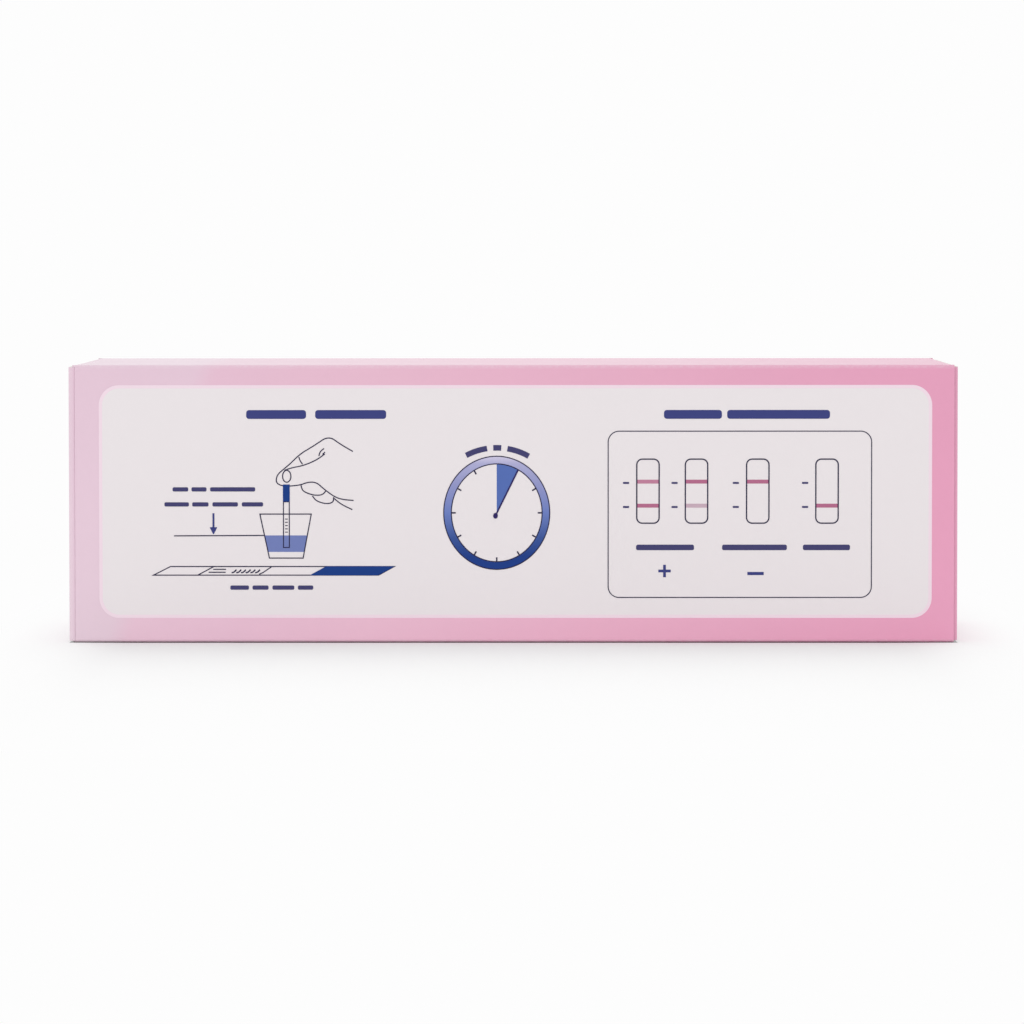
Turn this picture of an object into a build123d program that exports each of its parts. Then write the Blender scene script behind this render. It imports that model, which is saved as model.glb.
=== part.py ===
from build123d import *
import math
import os

# A tuck-end carton of coated board, lying on its bottom panel with its printed front towards -Y.
# Inside lie two stacks of sealed foil pouches with a folded leaflet on them.
# Sizes are in millimetres. The origin is at the middle of the bottom panel's underside.

# Carton
carton_length = 136.0
carton_depth = 51.0
carton_height = 42.5
board = 0.45
fold_radius = 0.65
layer_gap = 0.1

# Glue tab, folded up from the bottom panel and glued inside the back panel
tab_height = 12.0
tab_end_inset = 6.0
tab_end_angle = 30.0
seam_edge_height = 0.15

# Dust flaps, folded in from the top and bottom panels at both ends
dust_length = 15.0
dust_side_relief = 1.5
dust_slit_inset = 1.0
dust_shoulder_drop = 4.0
dust_shoulder_step = 4.5
dust_taper = 2.0
dust_tip_radius = 3.0

# Closing flaps, each hinged on a creased bead and tucked in by a bowed tongue
bead_radius = 0.6
bead_gap = 0.03
flap_side_gap = 0.3
opening_angle = 120.0
opening_relief_angle = 3.0
tongue_length = 13.0
tongue_gap = 0.3
tongue_side_inset = 1.2
tongue_tip_radius = 9.0
lock_slit_length = 5.0
lock_slit_width = 0.3

# Foil pouches, as long as the dust flaps and as wide as the tongues leave room for
pouch_end_room = 4.5
pouch_side_room = 0.4
foil_seal = 0.2
end_seal = 6.0
side_seal = 4.0
pillow_end = 6.0
shoulder_inset = 0.9
shoulder_height = 0.75
crown_inset = 3.2
strip_half_height = 0.55
sachet_half_height = 1.4
ramp_half_length = 20.0
ramp_steps = 4
notch_from_end = 9.0
notch_depth = 1.2
notch_width = 1.6

# Stacks
stack_count = 2
pouches_in_stack = 10
stack_gap = 0.3
rest_gap = 0.03

# Leaflet, a little smaller than the stacks that it lies on
leaflet_end_inset = 3.5
leaflet_side_inset = 2.15
paper = 0.22
leaflet_pitch = 0.32
leaflet_layers = 6

# Places that follow from the sizes
half_length = carton_length / 2
half_depth = carton_depth / 2
panel_end = half_length - bead_radius
hinge_y = -half_depth + bead_radius
dust_face = half_length - board - layer_gap
dust_fold_start = dust_face - fold_radius
tongue_radius = half_depth - board - tongue_gap - hinge_y
tongue_tip_y = hinge_y + math.sqrt((tongue_radius - board) ** 2 - tongue_length**2)
stacks_width = 2 * (tongue_tip_y - pouch_side_room)
pouch_length = 2 * (dust_face - board - pouch_end_room)
pouch_width = (stacks_width - (stack_count - 1) * stack_gap) / stack_count
leaflet_length = pouch_length - 2 * leaflet_end_inset
leaflet_width = stacks_width - 2 * leaflet_side_inset
pouch_pitch = strip_half_height + sachet_half_height + rest_gap
first_pouch_z = board + rest_gap + sachet_half_height
stack_top = first_pouch_z + (pouches_in_stack - 1) * pouch_pitch + sachet_half_height


# Board folded along its outside line, with its thickness to the left of that line
def folded_section(*outside_line):
    line = FilletPolyline(*outside_line, radius=fold_radius)
    return make_face(offset(line, amount=board, side=Side.LEFT, closed=True).edges())


# A box between two corners
def box_between(low, high):
    size = [b - a for a, b in zip(low, high)]
    return Pos(*low) * Box(*size, align=(Align.MIN, Align.MIN, Align.MIN))


# The four panels, from the back panel's raw lower edge over the top and round to the bottom panel
def panel_tube():
    middle = (-half_depth, carton_height / 2)
    back_and_top = folded_section(
        (half_depth, seam_edge_height),
        (half_depth, carton_height),
        (-half_depth, carton_height),
        middle,
    )
    front_and_bottom = folded_section(middle, (-half_depth, 0), (half_depth - board - layer_gap, 0))
    return extrude(Plane.YZ * (back_and_top + front_and_bottom), amount=panel_end, both=True)


# The strip of bottom panel that ends in the glue tab
def glue_tab():
    strip_start = half_depth / 2
    tab_half = panel_end - tab_end_inset
    tab_face = half_depth - board
    section = folded_section((strip_start, 0), (tab_face, 0), (tab_face, tab_height))
    strip = extrude(Plane.YZ * section, amount=tab_half, both=True)
    tip_half = tab_half - (tab_height - fold_radius) * math.tan(math.radians(tab_end_angle))
    outline = Polyline(
        (-tab_half, -board),
        (tab_half, -board),
        (tab_half, fold_radius),
        (tip_half, tab_height),
        (-tip_half, tab_height),
        (-tab_half, fold_radius),
        close=True,
    )
    return strip & extrude(Plane.XZ * make_face(outline), amount=carton_depth, both=True)


# The part of the plain tube that the tab's strip takes the place of
def tab_strip_room():
    tab_half = panel_end - tab_end_inset
    return box_between((-tab_half, half_depth / 2, 0), (tab_half, half_depth - board, board))


# The left dust flap of the top panel, cut back on the side where the tongue goes in
def top_dust_flap():
    section = folded_section(
        (-dust_fold_start + fold_radius, carton_height),
        (-dust_face, carton_height),
        (-dust_face, carton_height - dust_length),
    )
    strip = extrude(Plane.XZ * section, amount=half_depth, both=True)
    side = half_depth - dust_side_relief
    shoulder_z = carton_height - dust_shoulder_drop
    tip_z = carton_height - dust_length
    outline = Polyline(
        (-side, carton_height + board),
        (side, carton_height + board),
        (side, shoulder_z),
        (side - dust_shoulder_step, shoulder_z - dust_shoulder_step),
        (side - dust_shoulder_step - dust_taper, tip_z),
        (-side + dust_taper, tip_z),
        close=True,
    )
    shape = make_face(outline)
    shape = fillet(shape.vertices().sort_by(Axis.Y)[:2], dust_tip_radius)
    return strip & extrude(Plane.YZ * shape, amount=-carton_length)


# Room between the dust flap's root and the corners of the tube, cut at both ends
def end_slits():
    room_half = half_depth - dust_slit_inset
    low = (dust_fold_start, -room_half, -board)
    right = box_between(low, (half_length, room_half, carton_height + board))
    return [right, Rot(0, 0, 180) * right]


# Room that the front panel's left end leaves for the creased bead and for the flap laid back
def hinge_room():
    height = carton_height - 2 * flap_side_gap + 2 * bead_gap
    reach = 2 * bead_radius
    swing = math.radians(opening_angle + opening_relief_angle - 90)
    wedge = make_face(Polyline((0, 0), (0, -reach), (reach * math.tan(swing), -reach), close=True))
    plan = Circle(bead_radius + bead_gap) + wedge
    return Pos(-panel_end, hinge_y, flap_side_gap - bead_gap) * extrude(plan, amount=height)


def carton_body():
    body = panel_tube() - tab_strip_room() + glue_tab()
    body -= end_slits()
    upper = top_dust_flap()
    lower = mirror(upper, about=Plane.XY.offset(carton_height / 2))
    for flap in (upper, lower):
        body += flap
        body += Rot(0, 0, 180) * flap
    room = hinge_room()
    return body - room - Rot(0, 0, 180) * room


# Plan of a closed flap about its hinge line: bead, closing panel, and a tongue on the arc it swings through
def flap_plan():
    inner_radius = tongue_radius - board
    window = Pos(-bead_radius, inner_radius / 2) * Rectangle(
        bead_radius + tongue_length, tongue_radius, align=(Align.MIN, Align.MIN)
    )
    panel = Pos(-bead_radius, 0) * Rectangle(board, tongue_radius, align=(Align.MIN, Align.MIN))
    tongue = (Circle(tongue_radius) - Circle(inner_radius)) & window
    plan = (panel & Circle(tongue_radius)) + tongue
    outer_corner = plan.vertices().sort_by_distance((-bead_radius, tongue_radius))[0]
    plan = fillet(outer_corner, fold_radius)
    inner_corner = plan.vertices().sort_by_distance((board - bead_radius, inner_radius))[0]
    plan = fillet(inner_corner, fold_radius - board)
    return plan + Circle(bead_radius)


# What is cut from the tongue's blank: its sides, the round corners of its tip and the two lock slits
def tongue_offcuts():
    fold_end = fold_radius - bead_radius
    low = flap_side_gap
    high = carton_height - flap_side_gap
    near = tongue_radius / 2
    far = tongue_radius + board
    blank = box_between((fold_end, near, low - board), (tongue_length + board, far, high + board))
    width = high - low - 2 * tongue_side_inset
    reach = tongue_length - fold_end
    shape = Pos(fold_end + reach / 2, carton_height / 2) * Rectangle(reach, width)
    shape = fillet(shape.vertices().sort_by(Axis.X)[-2:], tongue_tip_radius)
    offcut = blank - extrude(Plane.XZ * shape, amount=-carton_depth)
    slit_end = (fold_end + lock_slit_width, far, low + lock_slit_length)
    slit = box_between((fold_end, near, low - board), slit_end)
    return [offcut, slit, mirror(slit, about=Plane.XY.offset(carton_height / 2))]


def left_end_flap():
    height = carton_height - 2 * flap_side_gap
    flap = Pos(0, 0, flap_side_gap) * extrude(flap_plan(), amount=height)
    flap -= tongue_offcuts()
    return Pos(-panel_end, hinge_y, 0) * flap


# Half thickness of a pouch along its length: the strip's end, a smooth ramp and the sachet's end
def pillow_height(x):
    ramp = math.sin(math.pi / 2 * max(-1.0, min(1.0, x / ramp_half_length)))
    middle = (sachet_half_height + strip_half_height) / 2
    return middle + ramp * (sachet_half_height - strip_half_height) / 2


# A closed outline from its upper half, given from one end to the other, and the same mirrored below
def mirrored_outline(upper):
    lower = [(along, -height) for along, height in reversed(upper)]
    return make_face(Polyline(*upper, *lower, close=True))


# The pillow is as high as its side view and as round as its end view allows
def pouch_pillow():
    pillow_half = pouch_length / 2 - end_seal
    flat_half = pillow_half - pillow_end
    ramp = [ramp_half_length * (2 * step / ramp_steps - 1) for step in range(ramp_steps + 1)]
    crown = [(x, pillow_height(x)) for x in [-flat_half, *ramp, flat_half]]
    tip_height = foil_seal / 4
    side_view = mirrored_outline([(-pillow_half, tip_height), *crown, (pillow_half, tip_height)])
    edge = pouch_width / 2 - side_seal
    shoulder = (edge - shoulder_inset, shoulder_height)
    dome = [(edge, tip_height), shoulder, (edge - crown_inset, sachet_half_height)]
    end_view = mirrored_outline([*dome, *((-y, z) for y, z in reversed(dome))])
    along_y = extrude(Plane.XZ * side_view, amount=pouch_width, both=True)
    along_x = extrude(Plane.YZ * end_view, amount=pouch_length, both=True)
    return along_y & along_x


# The flat seal all round, with a tear notch in each long edge
def pouch_seal():
    shape = Rectangle(pouch_length, pouch_width)
    edge = pouch_width / 2
    notch_x = notch_from_end - pouch_length / 2
    notch = make_face(
        Polyline(
            (notch_x - notch_width / 2, edge),
            (notch_x + notch_width / 2, edge),
            (notch_x, edge - notch_depth),
            close=True,
        )
    )
    shape -= notch
    shape -= mirror(notch, about=Plane.XZ)
    return extrude(shape, amount=foil_seal / 2, both=True)


# Every second pouch is turned round, so that sachets lie on strips and the stack stays level
def stacked_pouches(pouch):
    stack_spacing = pouch_width + stack_gap
    pouches = []
    for stack in range(stack_count):
        y = (stack - (stack_count - 1) / 2) * stack_spacing
        for layer in range(pouches_in_stack):
            z = first_pouch_z + layer * pouch_pitch
            turn = 180 * ((stack + layer) % 2)
            pouches.append(Pos(0, y, z) * Rot(0, 0, turn) * pouch)
    return pouches


# A sheet of paper folded to and fro, seen from its end, with round folds
def instruction_leaflet():
    fold_y = leaflet_width / 2 - (leaflet_pitch + paper) / 2
    layer = Rectangle(2 * fold_y, paper)
    ring = Circle((leaflet_pitch + paper) / 2) - Circle((leaflet_pitch - paper) / 2)
    section = layer
    for number in range(1, leaflet_layers):
        side = 1 if number % 2 else -1
        bend = ring & Pos(side * leaflet_pitch, 0) * Rectangle(2 * leaflet_pitch, 2 * leaflet_pitch)
        section += Pos(side * fold_y, (number - 0.5) * leaflet_pitch) * bend
        section += Pos(0, number * leaflet_pitch) * layer
    sheet = extrude(Plane.YZ * section, amount=leaflet_length / 2, both=True)
    return Pos(0, 0, stack_top + rest_gap + paper / 2) * sheet


def save(part, node):
    export_step(part, "parts/" + node + ".step")


os.makedirs("parts", exist_ok=True)
save(carton_body(), "carton_body")
left_flap = left_end_flap()
save(left_flap, "left_end_flap")
save(Rot(0, 0, 180) * left_flap, "right_end_flap")
pouch_solid = pouch_pillow() + pouch_seal()
for place, pouch in enumerate(stacked_pouches(pouch_solid), start=1):
    save(pouch, f"pouch_{place:02d}")
save(instruction_leaflet(), "instruction_leaflet")
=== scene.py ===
"""Looks of a tuck-end carton for test strips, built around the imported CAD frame.

Sizes and places in the classes are in millimetres, in the frame of the carton: +X to its right
end, -Y out of the printed front panel and +Z up from the underside of the bottom panel.
"""

import logging
import math
from collections.abc import Callable, Iterable, Sequence
from dataclasses import dataclass
from enum import Enum
from functools import cache

import bpy
from mathutils import Matrix, Vector

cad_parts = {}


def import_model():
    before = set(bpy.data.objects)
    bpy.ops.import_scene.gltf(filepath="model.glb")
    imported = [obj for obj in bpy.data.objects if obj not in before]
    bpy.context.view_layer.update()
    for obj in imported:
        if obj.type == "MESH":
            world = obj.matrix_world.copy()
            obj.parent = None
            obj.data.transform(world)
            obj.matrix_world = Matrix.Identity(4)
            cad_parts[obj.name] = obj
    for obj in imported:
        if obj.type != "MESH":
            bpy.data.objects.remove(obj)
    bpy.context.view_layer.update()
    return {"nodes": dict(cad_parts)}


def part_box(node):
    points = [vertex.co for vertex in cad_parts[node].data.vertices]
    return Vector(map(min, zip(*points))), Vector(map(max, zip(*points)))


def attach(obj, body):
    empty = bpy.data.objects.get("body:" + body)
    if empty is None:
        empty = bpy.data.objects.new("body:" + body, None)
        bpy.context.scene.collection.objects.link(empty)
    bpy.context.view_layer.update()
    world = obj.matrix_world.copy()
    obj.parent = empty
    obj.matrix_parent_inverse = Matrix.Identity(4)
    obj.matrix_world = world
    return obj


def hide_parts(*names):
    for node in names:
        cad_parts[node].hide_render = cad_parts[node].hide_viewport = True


MM = 0.001
HALF_LENGTH = 68.0
HALF_DEPTH = 25.5
HALF_HEIGHT = 21.25
UPRIGHT = (math.pi / 2, 0.0, 0.0)
log = logging.getLogger("carton")

Spot = tuple[float, float]
Line = tuple[Spot, ...]
Row = tuple[float, tuple[Spot, ...]]
Colour = tuple[float, float, float]
Stops = tuple[tuple[float, Colour], ...]
Piece = bpy.types.Object
Material = bpy.types.Material
Node = bpy.types.Node
Tree = bpy.types.NodeTree
Socket = bpy.types.NodeSocket


class Body(Enum):
    """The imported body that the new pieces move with."""

    CARTON = "carton"


class Slot(Enum):
    """Names of the record's material slots."""

    BOARD = "printed_board"
    FOIL = "foil_film"


class Layer(Enum):
    """How far the back of an ink film lies in front of the front panel, in millimetres."""

    FIELD = -0.010
    TINT = 0.005
    LINE = 0.020
    ACCENT = 0.035


# Modelling by hand


def start_fresh() -> None:
    """Go back to object mode and deselect every object."""
    if bpy.context.object and bpy.context.object.mode != "OBJECT":
        bpy.ops.object.mode_set(mode="OBJECT")
    bpy.ops.object.select_all(action="DESELECT")


def pick(*pieces: Piece) -> None:
    """Select only these pieces.

    Args:
        pieces: What to select. The first becomes the active piece.
    """
    start_fresh()
    for piece in pieces:
        piece.select_set(True)
    bpy.context.view_layer.objects.active = pieces[0]


def open_mesh(piece: Piece, kind: str = "VERT", action: str = "DESELECT") -> None:
    """Open a piece in edit mode.

    Args:
        piece: The piece to edit.
        kind: VERT or FACE, what is selected next.
        action: DESELECT, or SELECT to start with everything selected.
    """
    pick(piece)
    bpy.ops.object.mode_set(mode="EDIT")
    bpy.ops.mesh.select_mode(type=kind)
    bpy.ops.mesh.select_all(action=action)


def close_mesh() -> None:
    """Leave edit mode."""
    bpy.ops.object.mode_set(mode="OBJECT")


def choose(piece: Piece, kind: str, test: Callable[[Vector, Vector], bool]) -> None:
    """Select the corners or faces that pass a test, and stay in edit mode.

    Args:
        piece: The piece that is open in edit mode.
        kind: VERT or FACE.
        test: Says of a place, in metres, and a normal whether it is selected.
    """
    bpy.ops.mesh.select_mode(type=kind)
    bpy.ops.mesh.select_all(action="DESELECT")
    bpy.ops.object.mode_set(mode="OBJECT")
    place = piece.matrix_world
    turn = place.to_3x3()
    if kind == "VERT":
        items = [(corner, corner.co) for corner in piece.data.vertices]
    else:
        items = [(face, face.center) for face in piece.data.polygons]
    for item, spot in items:
        item.select = test(place @ spot, turn @ item.normal)
    bpy.ops.object.mode_set(mode="EDIT")


def apply_place(piece: Piece) -> None:
    """Put a piece's place, turn and scale into its mesh."""
    pick(piece)
    bpy.ops.object.transform_apply(location=True, rotation=True, scale=True)


def apply_modifier(piece: Piece, kind: str, **settings: object) -> None:
    """Add one modifier and apply it.

    Args:
        piece: The piece to change.
        kind: Name of the modifier type.
        settings: Values of the modifier.
    """
    pick(piece)
    modifier = piece.modifiers.new(kind.title(), kind)
    for name, value in settings.items():
        setattr(modifier, name, value)
    bpy.ops.object.modifier_apply(modifier=modifier.name)


def dress(piece: Piece, material: Material) -> None:
    """Give a piece one material in place of those it has."""
    if piece.data.materials:
        piece.data.materials[0] = material
    else:
        piece.data.materials.append(material)


def settle(piece: Piece, material: Material, body: Body) -> None:
    """Dress a finished piece and let it move with a body.

    Args:
        piece: The finished piece.
        material: Its material.
        body: The body that it moves with.
    """
    dress(piece, material)
    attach(piece, body.value)
    log.info("%s: %d faces, on %s", piece.name, len(piece.data.polygons), body.value)


# Flat shapes, drawn on the upright plane y = 0 with their faces to -Y


def at(spot: Spot) -> Vector:
    """A spot on the drawing plane, in metres."""
    return Vector((spot[0] * MM, 0.0, spot[1] * MM))


def stretch(centre: Spot, size: Spot) -> None:
    """Stretch what is selected about a spot, by a factor sideways and one upwards."""
    bpy.ops.transform.resize(value=(size[0], 1, size[1]), center_override=at(centre))


def plate(centre: Spot, size: Spot, radius: float = 0.0, steps: int = 6) -> Piece:
    """Make a flat plate with square or round corners.

    Args:
        centre: Middle of the plate.
        size: Its width and height.
        radius: Radius of its corners.
        steps: Segments of each round corner.

    Returns:
        The plate.
    """
    start_fresh()
    bpy.ops.mesh.primitive_plane_add(size=MM, location=at(centre), rotation=UPRIGHT)
    piece = bpy.context.object
    open_mesh(piece, action="SELECT")
    stretch(centre, size)
    if radius:
        bpy.ops.mesh.bevel(offset=radius * MM, segments=steps, affect="VERTICES")
    close_mesh()
    return piece


def slanted_plate(low: Spot, high: Spot, span: Spot) -> Piece:
    """Make a flat plate whose lower and upper edges differ in place and width.

    Args:
        low: Left and right end of the lower edge.
        high: Left and right end of the upper edge.
        span: Height of the lower and of the upper edge.

    Returns:
        The plate.
    """
    width = low[1] - low[0]
    middle = (sum(low) / 2, sum(span) / 2)
    piece = plate(middle, (width, span[1] - span[0]))
    open_mesh(piece)
    choose(piece, "VERT", lambda place, _normal: place.z > middle[1] * MM)
    stretch((middle[0], span[1]), ((high[1] - high[0]) / width, 1))
    bpy.ops.transform.translate(value=at(((sum(high) - sum(low)) / 2, 0)))
    close_mesh()
    return piece


@dataclass(frozen=True)
class Oval:
    """A flat oval. Its directions are in degrees, clockwise from straight up."""

    centre: Spot
    radii: Spot

    def inset(self, by: float) -> "Oval":
        """The oval that lies inside this one by a distance."""
        return Oval(self.centre, (self.radii[0] - by, self.radii[1] - by))

    def spot(self, angle: float) -> Spot:
        """The spot on its edge in one direction."""
        sine, cosine = math.sin(math.radians(angle)), math.cos(math.radians(angle))
        return self.centre[0] + self.radii[0] * sine, self.centre[1] + self.radii[1] * cosine

    def arc(self, first: float, last: float, steps: int = 8) -> list[Spot]:
        """Spots along its edge from one direction to another."""
        return [self.spot(first + (last - first) * step / steps) for step in range(steps + 1)]

    def disc(self, count: int = 96, fill: str = "NGON") -> Piece:
        """Make the filled oval.

        Args:
            count: Number of its corners.
            fill: NGON for one face, TRIFAN for a fan of them.

        Returns:
            The oval.
        """
        start_fresh()
        bpy.ops.mesh.primitive_circle_add(
            vertices=count, radius=MM, fill_type=fill, location=at(self.centre), rotation=UPRIGHT
        )
        piece = bpy.context.object
        open_mesh(piece, action="SELECT")
        stretch(self.centre, self.radii)
        close_mesh()
        return piece

    def sector(self, first: float, last: float, count: int = 192) -> Piece:
        """Make the part of the oval between two directions.

        Args:
            first: The first direction.
            last: The last direction.
            count: Number of corners of the whole oval.

        Returns:
            The sector.
        """
        piece = self.disc(count, "TRIFAN")
        middle = at(self.centre)

        def outside(place: Vector, _normal: Vector) -> bool:
            """Whether a face of the fan lies beside the sector."""
            offset = place - middle
            angle = math.degrees(math.atan2(offset.x / self.radii[0], offset.z / self.radii[1]))
            return not first < angle < last

        open_mesh(piece, "FACE")
        choose(piece, "FACE", outside)
        bpy.ops.mesh.delete(type="FACE")
        close_mesh()
        return piece


def hollow(piece: Piece, line: float) -> Piece:
    """Leave only a line of even width inside the edge of a flat shape.

    Args:
        piece: The filled shape.
        line: Width of the line.

    Returns:
        The same piece.
    """
    open_mesh(piece, "FACE", "SELECT")
    bpy.ops.mesh.inset(thickness=line * MM, use_even_offset=True)
    bpy.ops.mesh.delete(type="FACE")
    close_mesh()
    return piece


def rounded(points: Sequence[Spot], rounds: int = 3) -> list[Spot]:
    """Cut the corners of a line until it is smooth.

    Args:
        points: The line's corners.
        rounds: How often the corners are cut.

    Returns:
        The points of the smooth line, with its ends kept.
    """
    line = [Vector(p) for p in points]
    for _ in range(rounds):
        cut = [line[0]]
        for a, b in zip(line, line[1:]):
            cut += [a.lerp(b, 0.25), a.lerp(b, 0.75)]
        line = [*cut, line[-1]]
    return [(p.x, p.y) for p in line]


def stroke(points: Sequence[Spot], width: float) -> Piece:
    """Draw a flat line of even width by pulling its end edge from corner to corner.

    Args:
        points: The line's corners.
        width: Its width.

    Returns:
        The line.
    """
    corners = [at(p) for p in points]
    runs = [b - a for a, b in zip(corners, corners[1:])]
    leans = [math.atan2(run.x, run.z) for run in runs]
    bends = [math.remainder(b - a, math.tau) / 2 for a, b in zip(leans, leans[1:])]
    turns = [0.0, *bends, 0.0]
    start_fresh()
    bpy.ops.mesh.primitive_plane_add(size=width * MM, location=corners[0], rotation=UPRIGHT)
    piece = bpy.context.object
    open_mesh(piece)
    choose(piece, "VERT", lambda place, _normal: place.z < corners[0].z)
    bpy.ops.mesh.delete(type="VERT")
    bpy.ops.mesh.select_all(action="SELECT")
    bpy.ops.transform.translate(value=(0, 0, -width * MM / 2))
    turn_edge(corners[0], leans[0], 1.0)
    for end, run, before, after in zip(corners[1:], runs, turns, turns[1:]):
        bpy.ops.mesh.extrude_edges_move(TRANSFORM_OT_translate={"value": run})
        turn_edge(end, before + after, math.cos(before) / math.cos(after))
    close_mesh()
    return piece


def turn_edge(pivot: Vector, turn: float, factor: float) -> None:
    """Turn and lengthen the selected end edge of a line about a pivot in metres."""
    bpy.ops.transform.rotate(value=-turn, orient_axis="Y", center_override=pivot)
    bpy.ops.transform.resize(value=(factor, 1, factor), center_override=pivot)


# Colours and node trees


def linear(colour: Colour) -> tuple[float, float, float, float]:
    """A colour given as 0 to 255 on a screen, as the light values that a shader takes."""
    shares = [value / 255 for value in colour]
    lit = [v / 12.92 if v <= 0.04045 else ((v + 0.055) / 1.055) ** 2.4 for v in shares]
    return (*lit, 1.0)


class Value:
    """What a node works out. A number can be used in sums and tests like a plain one."""

    def __init__(self, sketch: "Sketch", socket: Socket) -> None:
        """Take an output of one of the sketch's nodes."""
        self.sketch = sketch
        self.socket = socket

    def work(self, operation: str, *others: "float | Value") -> "Value":
        """Work out a number from this one and others, by the name of the sum."""
        node = self.sketch.add("ShaderNodeMath", dict(enumerate((self, *others))), operation=operation)
        return Value(self.sketch, node.outputs[0])

    def __add__(self, other: "float | Value") -> "Value":
        """Both numbers together."""
        return self.work("ADD", other)

    def __sub__(self, other: "float | Value") -> "Value":
        """This number less the other."""
        return self.work("SUBTRACT", other)

    def __rsub__(self, other: float) -> "Value":
        """A plain number less this one."""
        return self.work("MULTIPLY_ADD", -1.0, other)

    def __mul__(self, other: "float | Value") -> "Value":
        """One number times the other, which of two masks is what both cover."""
        return self.work("MULTIPLY", other)

    def __gt__(self, other: float) -> "Value":
        """1 where this number is the larger, otherwise 0."""
        return self.work("GREATER_THAN", other)

    def __lt__(self, other: float) -> "Value":
        """1 where this number is the smaller, otherwise 0."""
        return self.work("LESS_THAN", other)

    def __abs__(self) -> "Value":
        """This number without its sign."""
        return self.work("ABSOLUTE")

    def larger(self, other: "float | Value") -> "Value":
        """The larger of the two, which of two masks is what either covers."""
        return self.work("MAXIMUM", other)

    def smaller(self, other: "Value") -> "Value":
        """The smaller of the two."""
        return self.work("MINIMUM", other)


class Sketch:
    """Adds and joins the nodes of one tree."""

    def __init__(self, tree: Tree) -> None:
        """Start on the tree of a material, a world or a group."""
        self.tree = tree

    def fill(self, node: Node, inputs: dict[str | int, object]) -> None:
        """Give inputs of a node their values, or join them to outputs.

        Args:
            node: The node.
            inputs: Values or outputs, by the name or number of the input.
        """
        for name, value in inputs.items():
            source = value.socket if isinstance(value, Value) else value
            if isinstance(source, Socket):
                self.tree.links.new(source, node.inputs[name])
            else:
                node.inputs[name].default_value = source

    def add(self, kind: str, inputs: dict[str | int, object] | None = None, **settings: object) -> Node:
        """Add a node.

        Args:
            kind: Name of the node type.
            inputs: Values or outputs for its inputs.
            settings: Its own settings.

        Returns:
            The node.
        """
        node = self.tree.nodes.new(kind)
        for name, value in settings.items():
            setattr(node, name, value)
        self.fill(node, inputs or {})
        return node

    def use(self, group: Tree, **inputs: object) -> dict[str, Value]:
        """Add one of the shared groups, and give its outputs by name."""
        node = self.add("ShaderNodeGroup", inputs, node_tree=group)
        return {output.name: Value(self, output) for output in node.outputs}

    def step(self, value: Value, low: float, high: float) -> Value:
        """Rise smoothly from 0 to 1 while a value goes from low to high."""
        inputs = {"Value": value, "From Min": low, "From Max": high}
        node = self.add("ShaderNodeMapRange", inputs, interpolation_type="SMOOTHSTEP")
        return Value(self, node.outputs["Result"])

    def mix(self, share: object, first: object, second: object, blend: str = "MIX") -> Socket:
        """Mix two colours.

        Args:
            share: How much of the second colour is taken.
            first: The first colour.
            second: The second colour.
            blend: How they are mixed.

        Returns:
            The mixed colour.
        """
        inputs = {0: share, 6: first, 7: second}
        return self.add("ShaderNodeMix", inputs, data_type="RGBA", blend_type=blend).outputs[2]

    def mix_shaders(self, share: Value, first: Node, second: Node) -> Node:
        """Show one shader, or another where the share is 1."""
        inputs = {0: share, 1: first.outputs[0], 2: second.outputs[0]}
        return self.add("ShaderNodeMixShader", inputs)

    def grey(self, value: Value) -> Socket:
        """A number as a grey, taken as light and not as it looks on a screen."""
        return self.add("ShaderNodeCombineColor", dict.fromkeys(range(3), value)).outputs[0]

    def parts(self, vector: Value | Socket) -> list[Value]:
        """The three parts of a vector."""
        return [Value(self, part) for part in self.add("ShaderNodeSeparateXYZ", {0: vector}).outputs]

    def millimetres(self, vector: Socket) -> Socket:
        """A place in metres, given in millimetres."""
        inputs = {0: vector, "Scale": 1 / MM}
        return self.add("ShaderNodeVectorMath", inputs, operation="SCALE").outputs["Vector"]

    def noise(self, vector: Socket, scale: float, detail: float = 2.0) -> Value:
        """Soft noise from 0 to 1 over a place, its scale per unit of the place."""
        inputs = {"Vector": vector, "Scale": scale, "Detail": detail}
        return Value(self, self.add("ShaderNodeTexNoise", inputs).outputs[0])

    def ramp(self, value: Value, stops: Stops) -> Socket:
        """Colours along a value from 0 to 1.

        Args:
            value: Where along the stops.
            stops: Places from 0 to 1, each with its colour.

        Returns:
            The colour.
        """
        node = self.add("ShaderNodeValToRGB", {0: value})
        line = node.color_ramp
        while len(line.elements) < len(stops):
            line.elements.new(0.5)
        for element, (place, colour) in zip(line.elements, stops):
            element.position = place
            element.color = linear(colour)
        return node.outputs[0]

    def rays(self) -> tuple[Value, Value]:
        """Tell rays apart.

        Returns:
            1 for a ray from the camera, and 1 for one from there, by gloss or through glass.
        """
        path = self.add("ShaderNodeLightPath").outputs
        kinds = ("Camera", "Glossy", "Transmission")
        camera, glossy, through = (Value(self, path[f"Is {kind} Ray"]) for kind in kinds)
        return camera, camera.larger(glossy).larger(through)


def new_group(name: str, inputs: dict[str, str], outputs: dict[str, str]) -> tuple[Sketch, Node, Node]:
    """Start a shader node group.

    Args:
        name: Name of the group.
        inputs: Its inputs, each Float, Vector or Color.
        outputs: Its outputs, likewise.

    Returns:
        A sketch of the group, its input node and its output node.
    """
    tree = bpy.data.node_groups.new(name, "ShaderNodeTree")
    for side, sockets in (("INPUT", inputs), ("OUTPUT", outputs)):
        for label, kind in sockets.items():
            tree.interface.new_socket(label, in_out=side, socket_type=f"NodeSocket{kind}")
    sketch = Sketch(tree)
    return sketch, sketch.add("NodeGroupInput"), sketch.add("NodeGroupOutput")


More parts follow.
